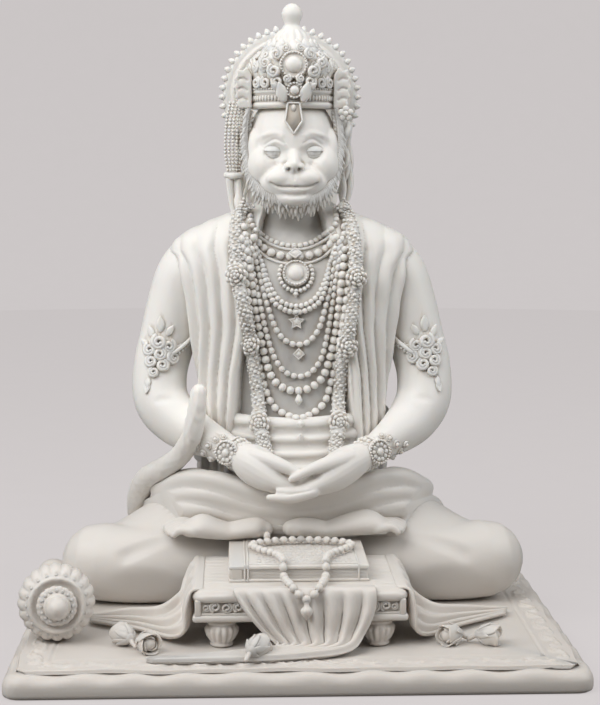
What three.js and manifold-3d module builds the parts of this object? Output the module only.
// A cast marble-white ornament: a crowned monkey-faced figure sits cross-legged on a rug-covered
// plinth, with a round-headed mace beside one knee and a cloth-draped book stand before the shins.
// Millimetres, +Z up, the figure faces -Y. The origin is the middle of the plinth's underside.
import * as THREE from "three";
import { mergeVertices } from "three/addons/utils/BufferGeometryUtils.js";
import Module from "manifold-3d";

const wasm = await Module();
wasm.setup();

// Driving dimensions
const GAP = 0.3; // between pieces that touch
const BASE_WIDTH = 174;
const BASE_DEPTH = 128;
const BASE_HEIGHT = 8;
const BASE_CORNER = 5; // corner radius seen from above
const BASE_ROUND = 2.4; // rounding of the slab's edges
const RUG_THICKNESS = 1.2;
const RUG_MARGIN = 3.5; // from the slab's outline to the rug's edge
const RUG_WAVE = 0.7; // how far the rug's edge wanders

const FIGURE_HEIGHT = 202; // from the seat to the tip of the crown
const FIGURE_X = 1; // how far the figure and what lies round it sit to the right of the middle
const FIGURE_Y = 2.5; // how far the figure sits behind the middle

const STAND_WIDTH = 66;
const STAND_DEPTH = 49;
const STAND_HEIGHT = 18;
const STAND_TOP = 2.6; // thickness of the covered top
const APRON_HEIGHT = 6.4;
const APRON_INSET = 1.4;
const LEG_RADIUS = 4.3;
const LEG_INSET = 9; // from the ends and the front of the stand to a leg's axis
const CLOTH = 1.6; // thickness of the draped cloth

const BOOK_WIDTH = 43.5;
const BOOK_DEPTH = 36;
const BOOK_THICKNESS = 5.2;
const COVER = 1; // thickness of the book's covers
const PAGE_INSET = 0.8;
const BEAD_RADIUS = 1.35; // prayer beads
const BEAD_CORD = 0.55; // radius of the cord between them
const BEADS_X = 1.6; // how far the loop lies to the right of the book's middle

const MACE_RADIUS = 12;
const MACE_LENGTH = 72;
const MACE_SHAFT = 2.4; // shaft radius
const MACE_LOBES = 14;
const MACE_YAW = 7; // degrees, tail turned outwards
const MACE_KNOB = 4.6; // radius of the knob at its tail
const MACE_INSIDE = 4.6; // from the knee's outermost point in to the tip of the mace
const MACE_BESIDE = 23.7; // how far the mace runs back past the knee's front

const HALO_RADIUS = 23.6; // to the middles of the beads round its rim
const HALO_THICKNESS = 2.4;
const HALO_BEADS = 44;
const HALO_BEAD = 1.5; // radius of a rim bead

const FLOWER_SIZE = 12;

// The figure is drawn 202 units tall, on a seat at height 0, and then takes its real height.
const DRAWN_HEIGHT = 202;
const UNIT = FIGURE_HEIGHT / DRAWN_HEIGHT;
const SHIN = { y: 16.5, z: 12.4, radius: 12.4 };
const KNEE = { x: 64.4, y: 15.5, z: 13.4, radius: 13.4 };
const HEAD = { y: 30, z: 150 };
const CROWN_RADIUS = 18; // to the middle of its widest leaves
const CROWN_LEAF = 1.3; // how far a leaf stands out of its tier
const HALO_Z = 170;

const UP = new THREE.Vector3(0, 0, 1);
const BACK = new THREE.Vector3(0, 1, 0);
const RIGHT = new THREE.Vector3(1, 0, 0);
const TILTED = new THREE.Vector3(0.13, 0.21, 0.97).normalize(); // along no stretch of the bead string
const at = (x, y, z) => new THREE.Vector3(x, y, z);
const degrees = THREE.MathUtils.degToRad;
const mix = THREE.MathUtils.lerp;
const smooth = THREE.MathUtils.smoothstep;

// A closed geometry as a solid, turned outwards if its winding came out inwards.
function solid(geometry) {
  const bare = geometry.clone();
  bare.deleteAttribute("normal");
  bare.deleteAttribute("uv");
  const merged = mergeVertices(bare, 1e-4);
  const index = merged.index.array;
  const corners = [];
  for (let i = 0; i < index.length; i += 3) {
    const [a, b, c] = index.slice(i, i + 3);
    if (a !== b && b !== c && a !== c) corners.push(a, b, c);
  }
  const build = (triVerts) =>
    new wasm.Manifold(
      new wasm.Mesh({
        numProp: 3,
        vertProperties: new Float32Array(merged.attributes.position.array),
        triVerts: new Uint32Array(triVerts),
      }),
    );
  const made = build(corners);
  return made.volume() > 0 ? made : build(corners.reverse());
}

// One body out of overlapping ones, with any hollow sealed inside it filled.
function union(solids) {
  const whole = solids.reduce((sum, piece) => sum.add(piece));
  const shells = whole.decompose().filter((shell) => shell.volume() > 0);
  return shells.reduce((sum, shell) => sum.add(shell));
}

function geometryOf(made) {
  const mesh = made.getMesh();
  const geometry = new THREE.BufferGeometry();
  const positions = new Float32Array(mesh.numVert * 3);
  for (let i = 0; i < mesh.numVert; i++) {
    const start = i * mesh.numProp;
    positions.set(mesh.vertProperties.subarray(start, start + 3), i * 3);
  }
  geometry.setAttribute("position", new THREE.BufferAttribute(positions, 3));
  geometry.setIndex(new THREE.BufferAttribute(new Uint32Array(mesh.triVerts), 1));
  return geometry;
}

// A skin over rings of points, each with the same number, closed by a pole at each end.
function skin(rings) {
  const sides = rings[0].length;
  const points = rings.flat();
  const middle = (ring) =>
    ring.reduce((sum, p) => sum.add(p), new THREE.Vector3()).divideScalar(ring.length);
  const first = points.push(middle(rings[0])) - 1;
  const last = points.push(middle(rings[rings.length - 1])) - 1;
  const index = [];
  for (let side = 0; side < sides; side++) {
    const next = (side + 1) % sides;
    index.push(first, next, side);
    const top = (rings.length - 1) * sides;
    index.push(last, top + side, top + next);
    for (let row = 0; row < rings.length - 1; row++) {
      const low = row * sides;
      const high = low + sides;
      index.push(low + side, low + next, high + next);
      index.push(low + side, high + next, high + side);
    }
  }
  const geometry = new THREE.BufferGeometry().setFromPoints(points);
  geometry.setIndex(index);
  return solid(geometry);
}

// A rounded, tapering limb through stations [point, half width, half height].
function limb(stations, sides = 8, steps = 2, reference = UP) {
  const path = new THREE.CatmullRomCurve3(stations.map(([point]) => point));
  const size = new THREE.CatmullRomCurve3(
    stations.map(([, wide, high = wide]) => at(wide, high, 0)),
  );
  const rings = [];
  const ring = (t, shift, scale) => {
    const tangent = path.getTangent(t);
    const across = new THREE.Vector3().crossVectors(tangent, reference).normalize();
    const upward = new THREE.Vector3().crossVectors(across, tangent);
    const { x: wide, y: high } = size.getPoint(t);
    const centre = path.getPoint(t).addScaledVector(tangent, shift * Math.min(wide, high));
    rings.push(
      Array.from({ length: sides }, (_, i) => {
        const angle = (i / sides) * 2 * Math.PI;
        return centre
          .clone()
          .addScaledVector(across, wide * scale * Math.cos(angle))
          .addScaledVector(upward, high * scale * Math.sin(angle));
      }),
    );
  };
  ring(0, -0.85, 0.5);
  const count = (stations.length - 1) * steps;
  for (let i = 0; i <= count; i++) ring(i / count, 0, 1);
  ring(1, 0.85, 0.5);
  return skin(rings);
}

// An ellipsoid.
function ball(centre, wide, deep, tall, columns = 14, rows = 9) {
  const geometry = new THREE.SphereGeometry(1, columns, rows);
  geometry.rotateX(Math.PI / 2);
  geometry.scale(wide, deep, tall);
  geometry.translate(centre.x, centre.y, centre.z);
  return solid(geometry);
}

// A small faceted bead.
function bead(centre, radius, tall = radius) {
  const geometry = new THREE.OctahedronGeometry(radius * 1.15);
  geometry.scale(1, 1, tall / radius);
  geometry.translate(centre.x, centre.y, centre.z);
  return solid(geometry);
}

function box(low, high) {
  const size = high.clone().sub(low);
  const middle = low.clone().add(high).divideScalar(2);
  const geometry = new THREE.BoxGeometry(size.x, size.y, size.z);
  geometry.translate(middle.x, middle.y, middle.z);
  return solid(geometry);
}

function lathe(profile, sides) {
  const points = profile.map(([radius, height]) => new THREE.Vector2(radius, height));
  const geometry = new THREE.LatheGeometry(points, sides);
  geometry.rotateX(Math.PI / 2);
  return solid(geometry);
}

// A cloth of even thickness over surface(u, v), for u and v from 0 to 1, with backing(u, v) behind it.
function cloth(surface, backing, columns, rows) {
  const rings = [];
  for (let row = 0; row <= rows; row++) {
    const v = row / rows;
    const front = [];
    const rear = [];
    for (let column = 0; column <= columns; column++) {
      front.push(surface(column / columns, v));
      rear.unshift(backing(column / columns, v));
    }
    rings.push([...front, ...rear]);
  }
  return flatSkin(rings);
}

// As skin, with each end closed by a strip between its front half and its rear half.
function flatSkin(rings) {
  const sides = rings[0].length;
  const index = [];
  for (let row = 0; row < rings.length - 1; row++) {
    for (let side = 0; side < sides; side++) {
      const next = (side + 1) % sides;
      const low = row * sides;
      const high = low + sides;
      index.push(low + side, low + next, high + next);
      index.push(low + side, high + next, high + side);
    }
  }
  const top = (rings.length - 1) * sides;
  for (let i = 0; i < sides / 2 - 1; i++) {
    const [a, b, c, d] = [i, i + 1, sides - 2 - i, sides - 1 - i];
    index.push(a, c, b, a, d, c);
    index.push(top + a, top + b, top + c, top + a, top + c, top + d);
  }
  const geometry = new THREE.BufferGeometry().setFromPoints(rings.flat());
  geometry.setIndex(index);
  return solid(geometry);
}

// Smooth values between rows of [height, a, b, ...], by height.
function profileAt(rows, height) {
  const last = rows.length - 1;
  if (height <= rows[0][0]) return rows[0].slice(1);
  for (let i = 0; i < last; i++) {
    const [low, high] = [rows[i], rows[i + 1]];
    if (height > high[0]) continue;
    const share = (height - low[0]) / (high[0] - low[0]);
    return low.slice(1).map((value, k) => mix(value, high[k + 1], share));
  }
  return rows[last].slice(1);
}

// Torso and shawl

// Height, half width and half depth of the body with the shawl round it.
const WRAP_AXIS_Y = 33;
const WRAP = [
  [0, 34, 23],
  [30, 33.5, 22],
  [50, 33, 21.5],
  [70, 34, 21],
  [85, 36, 21],
  [100, 38.5, 20.5],
  [112, 40.5, 19],
  [120, 39.5, 17],
  [124, 35, 15],
  [128, 26.5, 13],
  [132, 16, 10.5],
];
const CHEST_DEPTH = 4; // how far the chest lies behind the shawl's front
const SHAWL_EDGE = 18; // the shawl's front edge, from the middle
const FRONT_FOLDS = 4; // flutes from the shawl's edge to the arm
const BACK_FOLDS = 6;
const FOLD_DEPTH = 1.5;

// Flutes of the shawl, from -1 in a valley to 1 on a ridge, at an angle from the front.
function flute(angle) {
  const side = Math.abs(angle) / Math.PI;
  const [front, arm] = [0.2, 0.5];
  const turns =
    side < arm
      ? ((side - front) / (arm - front)) * FRONT_FOLDS
      : FRONT_FOLDS + ((side - arm) / (1 - arm)) * (BACK_FOLDS / 2);
  return Math.cos(2 * Math.PI * turns);
}

// A point of the torso with its shawl, at an angle from the front and a height.
function wrapPoint(angle, height) {
  const [wide, deep] = profileAt(WRAP, height);
  const power = 2.6;
  const [s, c] = [Math.sin(angle), Math.cos(angle)];
  const base =
    (Math.abs(s / wide) ** power + Math.abs(c / deep) ** power) ** (-1 / power);
  const sideways = Math.abs(base * s);
  const covered = Math.abs(angle) > Math.PI / 2 ? 1 : smooth(sideways, SHAWL_EDGE - 1.5, SHAWL_EDGE);
  const neck = 1 - smooth(height, 118, 132);
  const reach = base - CHEST_DEPTH * (1 - covered) * neck + FOLD_DEPTH * flute(angle) * covered * neck;
  return at(reach * s, WRAP_AXIS_Y - reach * c, height);
}

function wrap() {
  const angles = [];
  const stretch = (from, to, count) => {
    for (let i = 0; i < count; i++) angles.push(degrees(mix(from, to, i / count)));
  };
  stretch(-90, -36, FRONT_FOLDS * 2);
  stretch(-36, 36, 4);
  stretch(36, 90, FRONT_FOLDS * 2);
  stretch(90, 270, BACK_FOLDS * 2);
  const heights = [8, 56, 88, 110, 121, 128, 132];
  const turned = (angle) => (angle > Math.PI ? angle - 2 * Math.PI : angle);
  return skin(heights.map((z) => angles.map((angle) => wrapPoint(turned(angle), z))));
}

// Limbs, for side -1 at the viewer's left and 1 at the right

// The forearm swells where the bracelet is.
function arm(side) {
  return union([
    limb(
      [
        [at(33.5 * side, 33, 114), 9.5, 10],
        [at(40.5 * side, 31.5, 96), 9.8],
        [at(45 * side, 28, 75), 9.6],
        [at(41 * side, 21, 62), 9.2],
        [at(32 * side, 12.6, 56), 7.4],
        [at(29.6 * side, 10.8, 55), 9],
        [at(23.6 * side, 6, 52.4), 8],
        [at(21 * side, 4, 51.2), 5.6],
      ],
      8,
      1,
    ),
    armlet(side),
  ]);
}

// Lobes of the armlet round the front of the upper arm: angle from outwards, height, radius.
function armlet(side) {
  const lobes = [
    [34, 87, 3.6],
    [62, 81, 3.4],
    [30, 77, 3.6],
  ];
  return union(
    lobes.map(([turn, height, radius]) => {
      const share = (96 - height) / 20;
      const around = degrees(turn);
      const reach = 9;
      const x = mix(40.5, 45, share) + reach * Math.cos(around);
      const y = mix(31.5, 28, share) - reach * Math.sin(around);
      return bead(at(x * side, y, height), radius);
    }),
  );
}

// The open hands lie in the lap, the one at the viewer's right in front of the other.
function hand(side) {
  const ahead = side > 0 ? -3.4 : 0;
  const palm = limb(
    [
      [at(19 * side, 3 + ahead / 2, 50.5), 5.4, 4.6],
      [at(7 * side, -2.5 + ahead, 45.5), 6.6, 3.4],
    ],
    8,
    1,
  );
  const fingers = [0, 1, 2, 3].map((n) => {
    const spread = (n - 1.5) * 3;
    const tip = at((n - 5.5) * side, -3.6 + ahead - spread * 0.5, 41.5 + spread * 0.75);
    return limb([[at(8 * side, -3 + ahead - spread * 0.5, 45 + spread * 0.85), 2.1], [tip, 1.5]], 4, 1);
  });
  const thumb = limb(
    [
      [at(15 * side, -1.5 + ahead, 52.5), 2.6],
      [at(3 * side, -6 + ahead, 48.5), 1.6],
    ],
    5,
    1,
  );
  return union([palm, ...fingers, thumb]);
}

function leg(side) {
  const thigh = limb(
    [
      [at(16 * side, 38, 24), 24, 20],
      [at(40 * side, 28, 22), 21, 19.5],
      [at(KNEE.x * side, KNEE.y + 1, KNEE.z), KNEE.radius],
    ],
    8,
    2,
  );
  const shin = limb(
    [
      [at(KNEE.x * side, KNEE.y, KNEE.z), KNEE.radius],
      [at(40 * side, SHIN.y, SHIN.z + 0.6), SHIN.radius, SHIN.radius + 0.6],
      [at(10 * side, SHIN.y, SHIN.z), SHIN.radius, SHIN.radius],
      [at(-8 * side, SHIN.y, SHIN.z), SHIN.radius * 0.8],
    ],
    8,
    1,
  );
  return union([thigh, shin, foot(side)]);
}

// A foot lies sole upwards on the other shin, its toes outwards.
function foot(side) {
  const heel = side > 0 ? 9 : 4;
  return limb(
    [
      [at(heel * side, 5, 29.4), 6.5, 4],
      [at(16 * side, 3.5, 29), 6.2, 3.2],
      [at(27 * side, 3.5, 29.8), 7.4, 4],
      [at(34 * side, 4.5, 29.4), 6.6, 3.4],
      [at(39.5 * side, 6, 29), 4.6, 2.4],
    ],
    6,
    1,
  );
}

// The loincloth bridges the thighs, with folds that hang in curves between them.
function lap() {
  const folds = [0, 1].map((n) =>
    limb(
      [
        [at(-46 + n * 7, 24 - n * 6, 37 + n * 2), 3],
        [at(-26 + n * 3, 9 - n * 2.5, 39 - n * 2.5), 3.2],
        [at(0, 2.5 - n * 0.5, 36 - n * 6), 3.2],
        [at(26 - n * 3, 9 - n * 2.5, 39 - n * 2.5), 3.2],
        [at(46 - n * 7, 24 - n * 6, 37 + n * 2), 3],
      ],
      4,
      1,
    ),
  );
  return union([ball(at(0, 26, 22), 36, 19, 21, 10, 6), ...folds]);
}

// The sash round the waist.
function sash() {
  return union(
    [0, 1].map((n) =>
      limb(
        [
          [at(-25, 20, 55 - n * 7), 3.6],
          [at(-13, 14, 53 - n * 7), 3.6],
          [at(13, 14, 53 - n * 7), 3.6],
          [at(25, 20, 55 - n * 7), 3.6],
        ],
        5,
        1,
      ),
    ),
  );
}

// The tail comes round from behind and its tip lies over the forearm.
function tail() {
  return limb(
    [
      [at(-18, 54, 8), 4.4],
      [at(-38, 54, 12), 4.2],
      [at(-53, 46, 22), 4],
      [at(-51, 34, 35), 3.8],
      [at(-44.6, 21.5, 45), 3.6],
      [at(-38.4, 11.5, 55.5), 3.4],
      [at(-35, 7, 63), 3.1],
      [at(-33.4, 6, 71.5), 2.8],
    ],
    6,
    1,
    BACK,
  );
}

// Head, hair and crown

function head() {
  return union([
    limb([[at(0, 34, 122), 12, 11], [at(0, 31, 140), 10.5]], 6, 1, BACK),
    ball(at(0, HEAD.y, HEAD.z + 2), 15.8, 17, 19, 10, 7),
    ball(at(0, 22, 139), 14.8, 13, 9.8, 8, 6),
    ball(at(0, 14.5, 140.5), 9.6, 7, 7, 8, 4),
    ball(at(0, 16, 157.5), 11.5, 4.6, 3.4, 6, 4),
    limb([[at(0, 12.6, 155), 2.2], [at(0, 8.6, 147.5), 3, 2.4]], 5, 1, RIGHT),
    ball(at(0, 41, 138), 14.4, 7.6, 23, 8, 4),
  ]);
}

// Strings of beads at the viewer's left of the face, with the ear pendant below them.
function tassel() {
  return limb(
    [
      [at(-19.4, 26, 166), 2.4, 3],
      [at(-20, 25.5, 154), 3.2, 4],
      [at(-20.3, 26, 143), 3.2, 4],
      [at(-19.6, 27, 136), 2],
      [at(-17, 27, 127), 2.8],
    ],
    6,
    1,
    BACK,
  );
}

// Wavy locks at the viewer's right of the face.
function locks() {
  const lock = (x, y, top, bottom, radius) => {
    const stations = Array.from({ length: 5 }, (_, i) => {
      const z = mix(top, bottom, i / 4);
      const sway = 1.2 * (i % 2 ? 1 : -1);
      return [at(x + sway, y, z), radius * (i === 4 ? 0.5 : 1)];
    });
    return limb(stations, 5, 1, BACK);
  };
  return union([
    lock(17.4, 28, 163, 131, 3.4),
    lock(18, 34, 161, 125, 3.4),
  ]);
}

function crown() {
  // Height, radius and how far the leaves of each tier stand out.
  const tiers = [
    [162, 15.4, 0],
    [167, 16.4, 0],
    [172, 17.2, 0.4],
    [177.5, CROWN_RADIUS, CROWN_LEAF],
    [180, 15.4, 0.6],
    [186, 13, CROWN_LEAF],
    [188.5, 9.8, 0.6],
    [193, 7, 0.9],
    [195.6, 2.8, 0],
    [197.4, 2.7, 0],
    [199.6, 3.6, 0],
    [201.3, 1.8, 0],
  ];
  const leaves = 8;
  const sides = leaves * 2;
  const rings = tiers.map(([height, radius, leaf], row) =>
    Array.from({ length: sides }, (_, i) => {
      const reach = radius + leaf * ((i + (row >> 1)) % 2 ? 1 : -1);
      const turn = (i / sides) * 2 * Math.PI;
      return at(reach * Math.sin(turn), HEAD.y - reach * Math.cos(turn), height);
    }),
  );
  const crest = at(0, HEAD.y, DRAWN_HEIGHT);
  rings.push(rings[rings.length - 1].map((p) => p.clone().lerp(crest, 1 - 1e-3)));
  const plate = (side) =>
    limb([[at(18 * side, 27, 165), 1.6, 4.4], [at(18.4 * side, 27, 178), 1.5, 3.6]], 5, 1, BACK);
  return union([
    skin(rings),
    plate(-1),
    plate(1),
    ball(at(0, 13.6, 178.5), 4.4, 2.6, 4.6, 8, 5),
    bead(at(0, 12.8, 169.5), 2.8),
    limb([[at(0, 12.8, 166), 2.2, 1.5], [at(0, 12.4, 160), 2, 1.4]], 4, 1, BACK),
  ]);
}

// Necklaces and garland

// How far forward the chest is, at a height and a distance from the middle.
const chestFront = (x, z) => {
  const [, deep] = profileAt(WRAP, z);
  const bulge = 1 - (x / 34) ** 2;
  return WRAP_AXIS_Y - (deep - CHEST_DEPTH) * Math.sqrt(Math.max(bulge, 0.3));
};

const onChest = (x, z) => at(x, chestFront(x, z) - 0.6, z);

// A strand that hangs from the neck, wide at the top and lowest in the middle.
function strand(halfWidth, top, bottom, radius) {
  const steps = 6;
  const stations = Array.from({ length: steps + 1 }, (_, i) => {
    const turn = mix(-Math.PI / 2, Math.PI / 2, i / steps);
    const x = halfWidth * Math.sin(turn);
    const z = mix(top, bottom, Math.cos(turn) ** 0.8);
    return [at(x, chestFront(x, z) - radius * 0.5, z), radius];
  });
  return limb(stations, 4, 1, BACK);
}

function necklaces() {
  return union([
    strand(11.5, 129, 117, 1.8),
    strand(12.5, 124, 95.5, 1.7),
    strand(13.5, 121, 84, 1.6),
    strand(14.5, 118, 70.5, 1.8),
    bead(onChest(0, 109), 4.4),
    bead(onChest(0.4, 92), 2, 2.8),
    bead(onChest(1.2, 65.6), 1.8, 3),
  ]);
}

// A garland of small flowers down each side of the chest, thicker at each large bloom.
function garland(side) {
  const [thin, bloom] = [2.7, 3.9];
  return limb(
    [
      [at(15.5 * side, 27, 133), thin],
      [at(20 * side, 14.5, 124), thin],
      [at(19.8 * side, 10, 113), thin],
      [at(19.4 * side, 9.4, 107), bloom],
      [at(18.8 * side, 9.2, 101), thin],
      [at(17 * side, 9, 87), thin],
      [at(16.4 * side, 8.8, 82), bloom],
      [at(15.6 * side, 8.6, 76), thin],
      [at(12 * side, 7.5, 50), thin],
    ],
    6,
    1,
  );
}

function figure() {
  const whole = union([
    wrap(),
    head(),
    crown(),
    tassel(),
    locks(),
    lap(),
    sash(),
    tail(),
    necklaces(),
    ...[-1, 1].flatMap((side) => [arm(side), hand(side), leg(side), garland(side)]),
  ]);
  const reach = 200;
  const seat = box(at(-reach, -reach, -reach), at(reach, reach, GAP / UNIT));
  return union([whole.subtract(seat)]);
}

// Plinth

// A rectangle with round corners, its edge wandering by a wave of that size.
function outline(width, depth, corner, wave = 0) {
  const points = [];
  const perSide = 8;
  const [halfWidth, halfDepth] = [width / 2 - corner, depth / 2 - corner];
  const corners = [[1, 1, 0], [-1, 1, 90], [-1, -1, 180], [1, -1, 270]];
  corners.forEach(([sx, sy, start], n) => {
    for (let i = 0; i <= 2; i++) {
      const angle = degrees(start + i * 45);
      points.push([sx * halfWidth + corner * Math.cos(angle), sy * halfDepth + corner * Math.sin(angle)]);
    }
    if (!wave) return;
    const [nextX, nextY] = corners[(n + 1) % 4];
    const [fromX, fromY] = points[points.length - 1];
    const toward = degrees(start + 90);
    const [toX, toY] = [
      nextX * halfWidth + corner * Math.cos(toward),
      nextY * halfDepth + corner * Math.sin(toward),
    ];
    for (let i = 1; i < perSide; i++) {
      const share = i / perSide;
      const shift = wave * Math.sin(share * Math.PI * 7) * Math.sin(share * Math.PI);
      const x = mix(fromX, toX, share) + shift * Math.cos(toward);
      const y = mix(fromY, toY, share) + shift * Math.sin(toward);
      points.push([x, y]);
    }
  });
  return new THREE.Shape(points.map(([x, y]) => new THREE.Vector2(x, y)));
}

function base() {
  const slabHeight = BASE_HEIGHT - RUG_THICKNESS;
  const slab = new THREE.ExtrudeGeometry(
    outline(BASE_WIDTH - 2 * BASE_ROUND, BASE_DEPTH - 2 * BASE_ROUND, BASE_CORNER - BASE_ROUND),
    {
      depth: slabHeight - 2 * BASE_ROUND,
      bevelEnabled: true,
      bevelThickness: BASE_ROUND,
      bevelSize: BASE_ROUND,
      bevelSegments: 2,
    },
  );
  slab.translate(0, 0, BASE_ROUND);
  const overlap = 1;
  const rug = new THREE.ExtrudeGeometry(
    outline(BASE_WIDTH - 2 * RUG_MARGIN, BASE_DEPTH - 2 * RUG_MARGIN, BASE_CORNER, RUG_WAVE),
    { depth: RUG_THICKNESS + overlap, bevelEnabled: false },
  );
  rug.translate(0, 0, slabHeight - overlap);
  return solid(slab).add(solid(rug));
}

// Book stand

const STAND_BACK = FIGURE_Y + (SHIN.y - SHIN.radius) * UNIT - GAP;
const STAND_FRONT = STAND_BACK - STAND_DEPTH;
const STAND_TOP_Z = BASE_HEIGHT + STAND_HEIGHT;
const FLOOR = BASE_HEIGHT + GAP;
const DRAPE_FOLDS = 7;
const DRAPE_FOLD_DEPTH = 1;

function standLeg(x, y) {
  const height = STAND_HEIGHT - STAND_TOP - APRON_HEIGHT - GAP;
  const profile = [
    [0, 0],
    [LEG_RADIUS * 0.6, 0],
    [LEG_RADIUS, height * 0.4],
    [LEG_RADIUS * 0.8, height * 0.72],
    [LEG_RADIUS, height * 0.85],
    [LEG_RADIUS, height + 1],
    [0, height + 1],
  ];
  return lathe(profile, 7).translate([x, y, FLOOR]);
}

// The cloth falls over the front edge in flutes and runs out along the plinth to the viewer's left.
function frontDrape() {
  const edge = STAND_FRONT;
  const fall = STAND_TOP_Z - FLOOR;
  const point = (u, v, inset) => {
    const flat = smooth(v, 0.72, 1);
    const halfWidth = mix(21.5, 15, Math.min(v / 0.72, 1));
    const slide = -14 * flat;
    const x = mix(-halfWidth, halfWidth, u) - 1 + slide * (1 - u * 0.4);
    const down = Math.min(v / 0.78, 1);
    const forward = 0.8 + 2.2 * down ** 3 + mix(10, 4, u) * flat;
    const fold = DRAPE_FOLD_DEPTH * Math.cos(2 * Math.PI * DRAPE_FOLDS * u) * (1 - 0.5 * flat);
    const z = Math.max(STAND_TOP_Z + 0.4 - fall * down, FLOOR + CLOTH);
    const lean = mix(1, 0.25, flat);
    return at(x, edge - forward - fold * lean + inset * lean, z - inset * (1 - lean) + fold * (1 - lean) * 0.4);
  };
  return cloth(
    (u, v) => point(u, v, 0),
    (u, v) => point(u, v, CLOTH),
    DRAPE_FOLDS * 2,
    5,
  );
}

// The cloth falls over each end of the stand and fans out on the plinth beside the shins.
function sideDrape(side) {
  const point = (u, v, inset) => {
    const front = mix(STAND_FRONT + 1.5, STAND_BACK - 26, smooth(v, 0.2, 0.9));
    const y = mix(front, STAND_BACK - 6 * smooth(v, 0.2, 0.8), u);
    const drop = Math.min(v / 0.75, 1);
    const out = 0.3 + 5 * drop ** 2 + (8 + 18 * u) * smooth(v, 0.45, 1);
    const fold = Math.cos(2 * Math.PI * 3 * (u + 0.15 * v)) * smooth(v, 0.1, 0.5);
    const fall = STAND_TOP_Z - FLOOR - CLOTH - 0.6;
    const z = STAND_TOP_Z + 0.3 - fall * Math.sin((drop * Math.PI) / 2) + 0.5 * fold;
    const lean = Math.cos((drop * Math.PI) / 2);
    return at(
      side * (STAND_WIDTH / 2 + out + 0.5 * fold * lean - inset * lean),
      y,
      z - inset * (1 - lean),
    );
  };
  return cloth(
    (u, v) => point(u, v, 0),
    (u, v) => point(u, v, CLOTH),
    5,
    5,
  );
}

function bookStand() {
  const half = STAND_WIDTH / 2;
  const apronLow = STAND_TOP_Z - STAND_TOP - APRON_HEIGHT;
  const edge = 1.2;
  const topShape = outline(STAND_WIDTH - 2 * edge, STAND_DEPTH - 2 * edge, 1.6);
  const top = new THREE.ExtrudeGeometry(topShape, {
    depth: STAND_TOP + 0.6 - 2 * edge,
    bevelEnabled: true,
    bevelThickness: edge,
    bevelSize: edge,
    bevelSegments: 1,
  });
  top.translate(0, (STAND_FRONT + STAND_BACK) / 2, STAND_TOP_Z - STAND_TOP - 0.6 + edge);
  const apron = box(
    at(-half + APRON_INSET, STAND_FRONT + APRON_INSET, apronLow),
    at(half - APRON_INSET, STAND_BACK - APRON_INSET, STAND_TOP_Z - STAND_TOP),
  );
  const legs = [-1, 1].flatMap((side) => [
    standLeg(side * (half - LEG_INSET), STAND_FRONT + LEG_RADIUS + APRON_INSET),
    standLeg(side * (half - LEG_INSET), STAND_BACK - LEG_RADIUS - APRON_INSET),
  ]);
  return union([solid(top), apron, ...legs, frontDrape(), sideDrape(-1), sideDrape(1)]);
}

// Book and prayer beads

const BOOK_LOW = STAND_TOP_Z + GAP;
const BOOK_TOP = BOOK_LOW + BOOK_THICKNESS;
const BOOK_BACK = STAND_BACK - 1;
const BOOK_FRONT = BOOK_BACK - BOOK_DEPTH;

function book() {
  const half = BOOK_WIDTH / 2;
  const middle = (BOOK_LOW + BOOK_TOP) / 2;
  const spine = limb(
    [
      [at(-half + 1.4, BOOK_FRONT + 0.6, middle), 1.4, BOOK_THICKNESS / 2],
      [at(-half + 1.4, BOOK_BACK - 0.6, middle), 1.4, BOOK_THICKNESS / 2],
    ],
    8,
    1,
  );
  const slab = (inset, low, high) =>
    box(at(-half + 1.4, BOOK_FRONT + inset, low), at(half - inset, BOOK_BACK - inset, high));
  const panel = box(
    at(-half + 7, BOOK_FRONT + 3, BOOK_TOP - COVER / 2),
    at(half - 4, BOOK_BACK - 3, BOOK_TOP + 0.35),
  );
  const limits = box(
    at(-half, BOOK_FRONT, BOOK_LOW),
    at(half, BOOK_BACK, BOOK_TOP + 1),
  );
  return union([
    spine,
    slab(0, BOOK_LOW, BOOK_LOW + COVER),
    slab(PAGE_INSET, BOOK_LOW, BOOK_TOP),
    slab(0, BOOK_TOP - COVER, BOOK_TOP),
    panel,
  ]).intersect(limits);
}

// A closed string of beads, thick at each bead and thin between two.
function beadString(loop, radius, cord) {
  const sides = 4;
  const count = Math.round(loop.getLength() / (radius * 2.4)) * 2;
  const rings = Array.from({ length: count }, (_, i) => {
    const centre = loop.getPointAt(i / count);
    const tangent = loop.getTangentAt(i / count);
    const across = new THREE.Vector3().crossVectors(tangent, TILTED).normalize();
    const upward = new THREE.Vector3().crossVectors(across, tangent);
    const size = i % 2 ? cord : radius;
    return Array.from({ length: sides }, (_, side) => {
      const angle = (side / sides) * 2 * Math.PI;
      return centre
        .clone()
        .addScaledVector(across, size * Math.cos(angle))
        .addScaledVector(upward, size * Math.sin(angle));
    });
  });
  const index = [];
  rings.forEach((_, row) => {
    const low = row * sides;
    const high = ((row + 1) % count) * sides;
    for (let side = 0; side < sides; side++) {
      const next = (side + 1) % sides;
      index.push(low + side, low + next, high + next, low + side, high + next, high + side);
    }
  });
  const geometry = new THREE.BufferGeometry().setFromPoints(rings.flat());
  geometry.setIndex(index);
  return solid(geometry);
}

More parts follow.
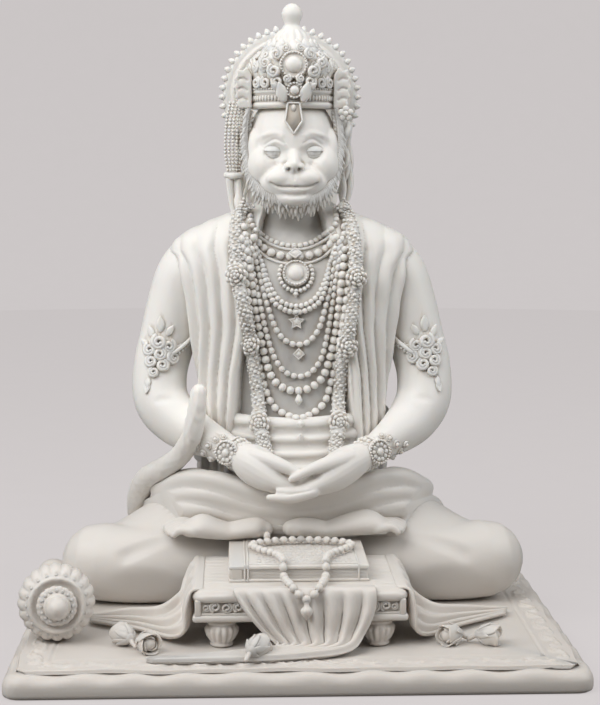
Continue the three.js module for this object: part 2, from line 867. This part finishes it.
// The string of beads lies in a loop on the book and hangs over its front on to the stand.
function prayerBeads() {
  const lift = BEAD_RADIUS + GAP + 0.4;
  const onBook = BOOK_TOP + lift;
  const onStand = STAND_TOP_Z + lift + 0.35;
  const clear = BOOK_FRONT - BEAD_RADIUS - GAP;
  const half = [
    at(0, BOOK_BACK - 7.5, onBook),
    at(10, BOOK_BACK - 9, onBook),
    at(16, BOOK_BACK - 14, onBook),
    at(14, BOOK_BACK - 20, onBook),
    at(8.4, BOOK_FRONT + 8, onBook),
    at(6.4, BOOK_FRONT, onBook - 0.1),
    at(6.4, clear - 0.4, onBook - 2.6),
    at(6.2, clear - 2.4, onStand),
    at(5.4, clear - 7, onStand),
    at(3.6, STAND_FRONT - 1, onStand + 0.4),
  ];
  const tip = at(0, STAND_FRONT - 4.2, STAND_TOP_Z);
  const mirrored = half.slice(1).map((p) => at(-p.x, p.y, p.z));
  const loop = new THREE.CatmullRomCurve3([tip, ...mirrored.reverse(), ...half], true);
  const pendant = limb(
    [
      [tip.clone().add(at(0, -0.3, 0)), 0.9],
      [tip.clone().add(at(0, -0.9, -3.4)), 1.9],
      [tip.clone().add(at(0, -1, -6.6)), 0.8],
    ],
    6,
    1,
    BACK,
  );
  return union([beadString(loop, BEAD_RADIUS, BEAD_CORD), pendant]).translate([BEADS_X, 0, 0]);
}

// Mace

const MACE_WIDEST = MACE_RADIUS * 1.333; // from the tip to the widest ring of the head
const MACE_NECK = MACE_RADIUS * 2.75; // from the tip to where the bare shaft starts

// Both profiles of the head are shares of its radius, measured from the tip.
function maceHead() {
  const fluted = [
    [0.617, 0.62],
    [0.833, 0.88],
    [MACE_WIDEST / MACE_RADIUS, 1],
    [1.833, 0.88],
    [2.333, 0.36],
  ];
  const sides = MACE_LOBES * 2;
  const rings = fluted.map(([height, share]) =>
    Array.from({ length: sides }, (_, i) => {
      const radius = MACE_RADIUS * share * (i % 2 ? 0.93 : 1);
      const angle = (i / sides) * 2 * Math.PI;
      return at(radius * Math.cos(angle), radius * Math.sin(angle), height * MACE_RADIUS);
    }),
  );
  const nose = [
    [0, 0],
    [0.158, 0.117],
    [0.25, 0.3],
    [0.325, 0.383],
    [0.325, 0.483],
    [0.492, 0.517],
    [0.492, 0.667],
    [0, 0.667],
  ].map(([radius, height]) => [radius * MACE_RADIUS, height * MACE_RADIUS]);
  return union([skin(rings), lathe(nose, 8)]);
}

function mace() {
  const shaft = [
    [0, MACE_NECK * 0.788],
    [MACE_SHAFT * 1.83, MACE_NECK * 0.848],
    [MACE_SHAFT * 2, MACE_NECK * 0.909],
    [MACE_SHAFT * 1.42, MACE_NECK * 0.955],
    [MACE_SHAFT, MACE_NECK],
    [MACE_SHAFT, MACE_LENGTH - MACE_KNOB * 1.74],
    [MACE_KNOB, MACE_LENGTH - MACE_KNOB * 1.3],
    [MACE_KNOB, MACE_LENGTH - MACE_KNOB * 0.65],
    [0, MACE_LENGTH],
  ];
  return union([maceHead(), lathe(shaft, 7)]);
}

// Halo

function halo() {
  const rim = HALO_RADIUS + HALO_BEAD / 2;
  const scallops = Array.from({ length: HALO_BEADS * 2 }, (_, i) => {
    const radius = rim + (HALO_BEAD / 2) * (i % 2 ? 1 : -1);
    const angle = (i / HALO_BEADS) * Math.PI;
    return new THREE.Vector2(radius * Math.cos(angle), radius * Math.sin(angle));
  });
  const disc = new THREE.ExtrudeGeometry(new THREE.Shape(scallops), {
    depth: HALO_THICKNESS * 0.7,
    bevelEnabled: false,
  });
  const band = [
    [HALO_RADIUS - 0.6, HALO_THICKNESS * 0.4],
    [HALO_RADIUS - 0.6, HALO_THICKNESS],
    [HALO_RADIUS - 3.2, HALO_THICKNESS],
    [HALO_RADIUS - 3.2, HALO_THICKNESS * 0.4],
    [HALO_RADIUS - 0.6, HALO_THICKNESS * 0.4],
  ];
  return union([solid(disc), lathe(band, 24)]);
}

// Flowers

// A half-open bloom lies on its side, its bud against an outer petal.
function flower(turn) {
  const size = FLOWER_SIZE;
  const lump = (x, y, z, wide, deep, tall) =>
    ball(at(x * size, y * size, z * size), wide * size, deep * size, tall * size, 6, 4);
  const made = union([
    lump(0.08, 0.02, 0.24, 0.34, 0.28, 0.27),
    lump(-0.12, -0.12, 0.2, 0.34, 0.3, 0.24),
  ]);
  const reach = size * 2;
  return made.subtract(box(at(-reach, -reach, -reach), at(reach, reach, 0))).rotate([0, 0, turn]);
}

// Assembly

const material = (tone) =>
  new THREE.MeshStandardMaterial({ color: new THREE.Color(tone), roughness: 0.55, metalness: 0 });
const STONE = material("#e3e0da");

function named(name, made) {
  const mesh = new THREE.Mesh(geometryOf(made), STONE);
  mesh.name = name;
  return mesh;
}

const ornament = new THREE.Group();
ornament.name = "hanuman_ornament";
ornament.add(named("base", base()));

const contents = new THREE.Group();
contents.position.x = FIGURE_X;
ornament.add(contents);

const seated = new THREE.Group();
seated.position.set(0, FIGURE_Y, BASE_HEIGHT);
seated.scale.setScalar(UNIT);
seated.add(named("figure", figure()));
contents.add(seated);

const disc = named("halo", halo());
const crownBack = (HEAD.y + CROWN_RADIUS + CROWN_LEAF) * UNIT;
disc.rotation.x = Math.PI / 2;
disc.position.set(0, FIGURE_Y + crownBack + GAP + HALO_THICKNESS, BASE_HEIGHT + HALO_Z * UNIT);
contents.add(disc);

contents.add(named("book_stand", bookStand()));
contents.add(named("book", book()));
contents.add(named("prayer_beads", prayerBeads()));

// The mace lies beside the knee, on its head and on the knob at its tail.
const club = named("mace", mace());
const tilt = Math.asin((MACE_RADIUS - MACE_KNOB) / (MACE_LENGTH - MACE_KNOB - MACE_WIDEST));
const kneeOut = (KNEE.x + KNEE.radius) * UNIT;
const headZ = FLOOR + MACE_RADIUS / Math.cos(tilt);
club.rotation.set(-Math.PI / 2 - tilt, 0, degrees(MACE_YAW), "ZXY");
club.position.set(
  -kneeOut + MACE_INSIDE,
  FIGURE_Y + (KNEE.y - KNEE.radius) * UNIT - MACE_LENGTH + MACE_BESIDE,
  headZ + MACE_WIDEST * Math.sin(tilt),
);
contents.add(club);

// Name, place and turn: two at each side of the stand, and one on the cloth before it.
const beside = STAND_WIDTH / 2;
const FLOWERS = [
  ["flower_left_rear", -beside - 21, STAND_FRONT + 7.7, FLOOR, 150],
  ["flower_left_front", -beside - 15, STAND_FRONT - 0.8, FLOOR, -30],
  ["flower_middle", -14, STAND_FRONT - 11.9, FLOOR + CLOTH + 2 * GAP, 60],
  ["flower_right_inner", beside + 13, STAND_FRONT + 4.7, FLOOR, 200],
  ["flower_right_outer", beside + 25, STAND_FRONT + 3.7, FLOOR, -15],
];
for (const [name, x, y, z, turn] of FLOWERS) {
  const bloom = named(name, flower(turn));
  bloom.position.set(x, y, z);
  contents.add(bloom);
}

export default ornament;
